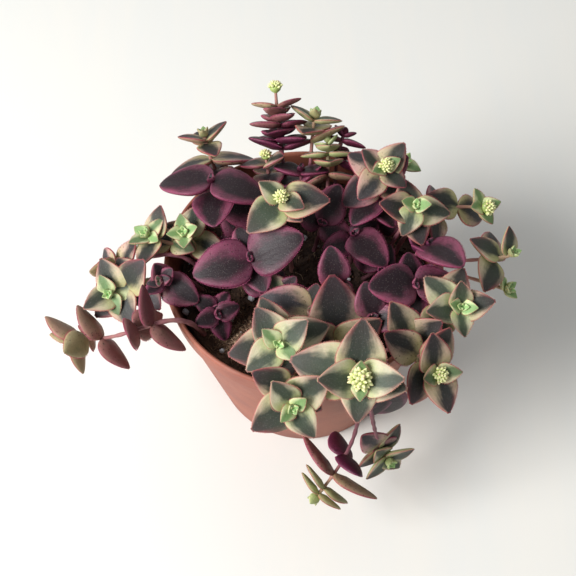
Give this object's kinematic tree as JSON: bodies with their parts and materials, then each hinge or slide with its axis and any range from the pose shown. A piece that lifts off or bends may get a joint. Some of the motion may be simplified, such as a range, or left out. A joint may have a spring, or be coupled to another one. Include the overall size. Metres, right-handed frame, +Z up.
{
  "type": "potted trailing succulent",
  "caption": "Bushy trailing succulent with pairs of pointed fleshy leaves on thin branching stems, growing in potting mix in a round tapered nursery pot with a rim band.",
  "frame": {"origin": "middle of the pot's flat underside", "axes": "+Z up along the pot's axis, +Y to the back of the pictured view, +X to its right"},
  "size_m": [0.203, 0.1583, 0.138],
  "materials": {
    "pot_plastic": "satin",
    "mix": "matte",
    "young_leaf": "satin",
    "old_leaf": "satin"
  },
  "bodies": {
    "root": {"pot": "pot_plastic", "potting_mix": "mix", "stem_front": "young_leaf", "stem_front_left": "young_leaf", "stem_front_low": "young_leaf", "stem_front_right": "young_leaf", "stem_centre": "young_leaf", "stem_right": "young_leaf", "stem_far_right": "young_leaf", "stem_front_right_bud": "young_leaf", "stem_left": "young_leaf", "stem_upper_right": "young_leaf", "stem_crown": "young_leaf", "stem_front_right_inner": "old_leaf", "stem_left_upper": "young_leaf", "stem_left_inner": "old_leaf", "stem_left_red": "old_leaf", "stem_trailing_right": "young_leaf", "stem_trailing_left": "young_leaf", "stem_over_rim": "old_leaf", "stem_back_left": "young_leaf", "stem_crown_side": "young_leaf", "stem_back_green": "young_leaf", "stem_back_bud": "young_leaf", "stem_back_red": "old_leaf", "stem_upper_right_side": "young_leaf", "stem_far_right_low": "young_leaf", "stem_far_right_small": "young_leaf", "stem_left_side": "young_leaf", "stem_trailing_far_left": "young_leaf", "stem_inner_back_left": "old_leaf", "stem_inner_left": "old_leaf", "stem_inner_front": "old_leaf", "stem_inner_right": "old_leaf", "stem_inner_far_right": "old_leaf", "stem_inner_centre": "old_leaf", "stem_inner_back_right": "old_leaf", "stem_inner_back": "old_leaf", "stem_inner_small": "old_leaf", "stem_soil_left": "old_leaf", "stem_inner_left_front": "old_leaf", "stem_inner_front_left": "old_leaf", "stem_inner_middle": "old_leaf", "stem_inner_right_back": "old_leaf", "stem_inner_front_right": "old_leaf", "stem_inner_left_back": "old_leaf", "stem_inner_middle_back": "old_leaf", "stem_inner_right_side": "old_leaf", "stem_soil_far_left": "old_leaf", "stem_inner_left_side": "old_leaf"}
  },
  "joints": []
}
